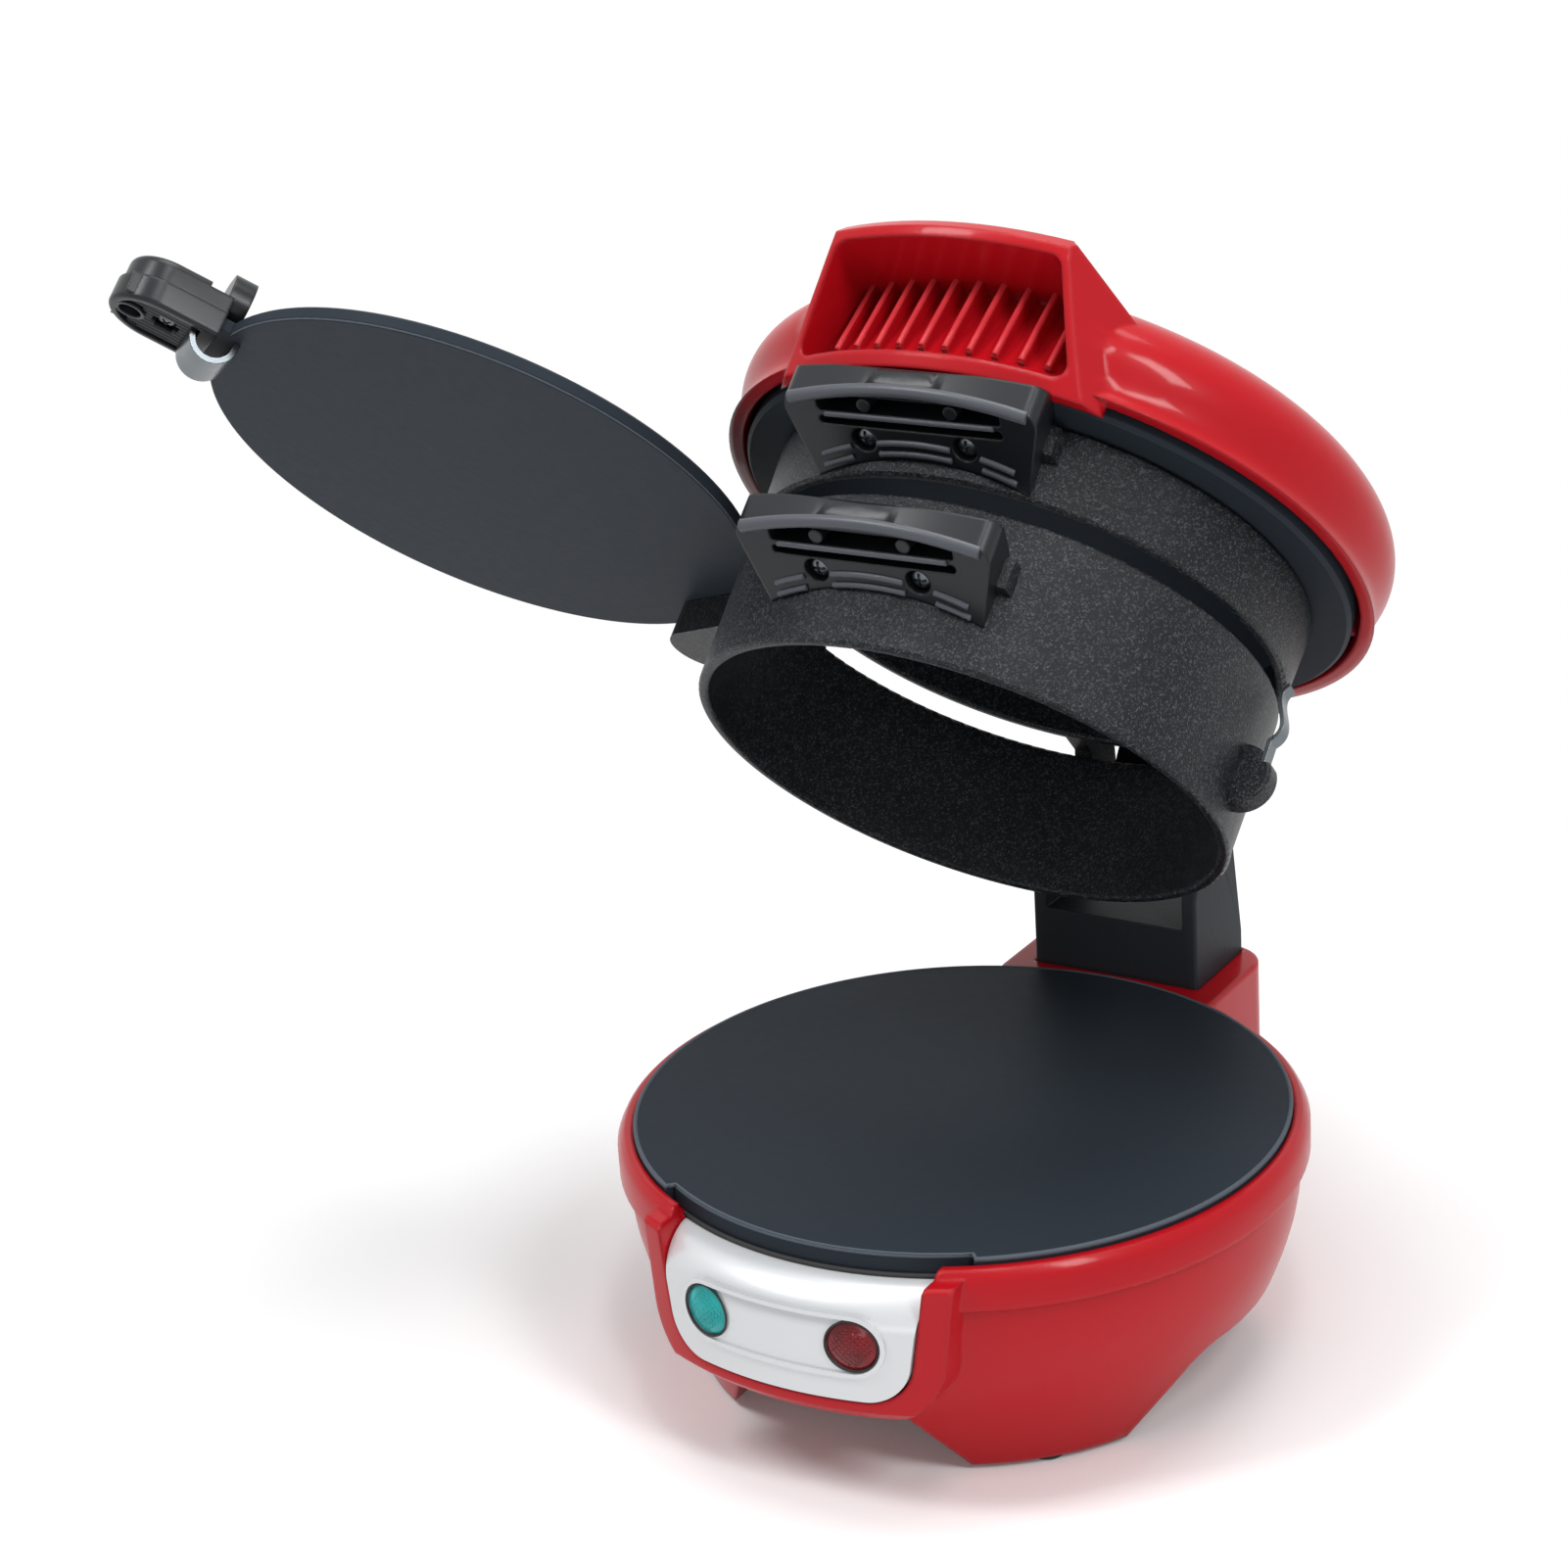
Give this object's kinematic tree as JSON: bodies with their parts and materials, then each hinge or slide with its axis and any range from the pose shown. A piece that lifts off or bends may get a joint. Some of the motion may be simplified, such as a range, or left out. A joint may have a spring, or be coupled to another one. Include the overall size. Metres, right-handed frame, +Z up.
{
  "type": "breakfast sandwich maker",
  "caption": "Round countertop sandwich maker with stacked hinged rings, a side-swinging cooking plate and a domed heated cover, shown open.",
  "frame": {"origin": "middle of the open machine's bounding box, on the table; the axis of the round base stands at x 47.6 mm, y -16.7 mm", "axes": "+Z up, the control panel faces -Y, the cooking plate swings out to -X"},
  "size_m": [0.2308, 0.1776, 0.2214],
  "materials": {
    "red_shell": "gloss, moulded",
    "dark_shell": "fine matt texture",
    "cover_plate_dark": "plain moulded",
    "nonstick_plate": "matt dark non-stick coat",
    "nonstick_ring": "dark speckled non-stick coat",
    "handle_phenolic": "satin moulded",
    "silver_panel": "satin silver paint",
    "green_lens": "clear tinted",
    "red_lens": "clear tinted",
    "lamp_glass": "clear",
    "white_nylon": "moulded",
    "bright_steel": "bright",
    "screw_steel": "zinc plated",
    "heater_steel": "heat tinted tube",
    "shield_steel": "plain sheet",
    "ceramic": "glazed",
    "pad_rubber": "plain"
  },
  "bodies": {
    "base": {"base_housing": "red_shell", "bottom_cover": "cover_plate_dark", "cover_screws": "screw_steel", "plate_screws": "screw_steel", "rubber_feet": "pad_rubber", "lower_heating_plate": "nonstick_plate", "lower_element": "heater_steel", "lower_heat_shield": "shield_steel", "lower_shield_screws": "screw_steel", "thermostat": "ceramic", "lower_thermal_fuse": "white_nylon", "control_panel": "silver_panel", "ready_lens": "green_lens", "power_lens": "red_lens", "neon_lamps": "lamp_glass", "lamp_holder": "white_nylon", "hinge_tower": "dark_shell", "hinge_axle": "bright_steel", "axle_caps": "bright_steel", "cord_inlet": "pad_rubber"},
    "lower_ring": {"lower_ring": "nonstick_ring", "lower_ring_handle": "handle_phenolic", "lower_handle_screws": "screw_steel", "plate_pivot_rivet": "bright_steel", "ring_spring_clip": "bright_steel"},
    "upper_ring": {"upper_ring": "nonstick_ring", "upper_ring_handle": "handle_phenolic", "upper_handle_screws": "screw_steel"},
    "cooking_plate": {"cooking_plate": "nonstick_plate", "plate_handle_lower": "handle_phenolic", "plate_handle_upper": "handle_phenolic", "plate_handle_bracket": "bright_steel", "plate_handle_screws": "screw_steel"},
    "cover": {"cover_shell": "red_shell", "upper_heating_plate": "nonstick_plate", "upper_element": "heater_steel", "upper_heat_shield": "shield_steel", "upper_shield_screws": "screw_steel", "upper_thermal_fuse": "white_nylon", "cover_hinge_arm": "dark_shell", "hinge_arm_screws": "screw_steel"}
  },
  "joints": [
    {"name": "lower_ring_hinge", "type": "hinge", "parent": "base", "child": "lower_ring", "pos_m": [0.0476, 0.0617, 0.0765], "axis": [-1, 0, 0], "range_deg": [-46.6, 3.4]},
    {"name": "upper_ring_hinge", "type": "hinge", "parent": "lower_ring", "child": "upper_ring", "pos_m": [0.0476, 0.0617, 0.0765], "axis": [-1, 0, 0], "range_deg": [0, 25]},
    {"name": "cover_hinge", "type": "hinge", "parent": "upper_ring", "child": "cover", "pos_m": [0.0476, 0.0617, 0.0765], "axis": [-1, 0, 0], "range_deg": [0, 35]},
    {"name": "cooking_plate_swivel", "type": "hinge", "parent": "lower_ring", "child": "cooking_plate", "pos_m": [-0.0159, 0.02015, 0.13135], "axis": [0, 0.7266, 0.6871], "range_deg": [0, 121.3]}
  ]
}
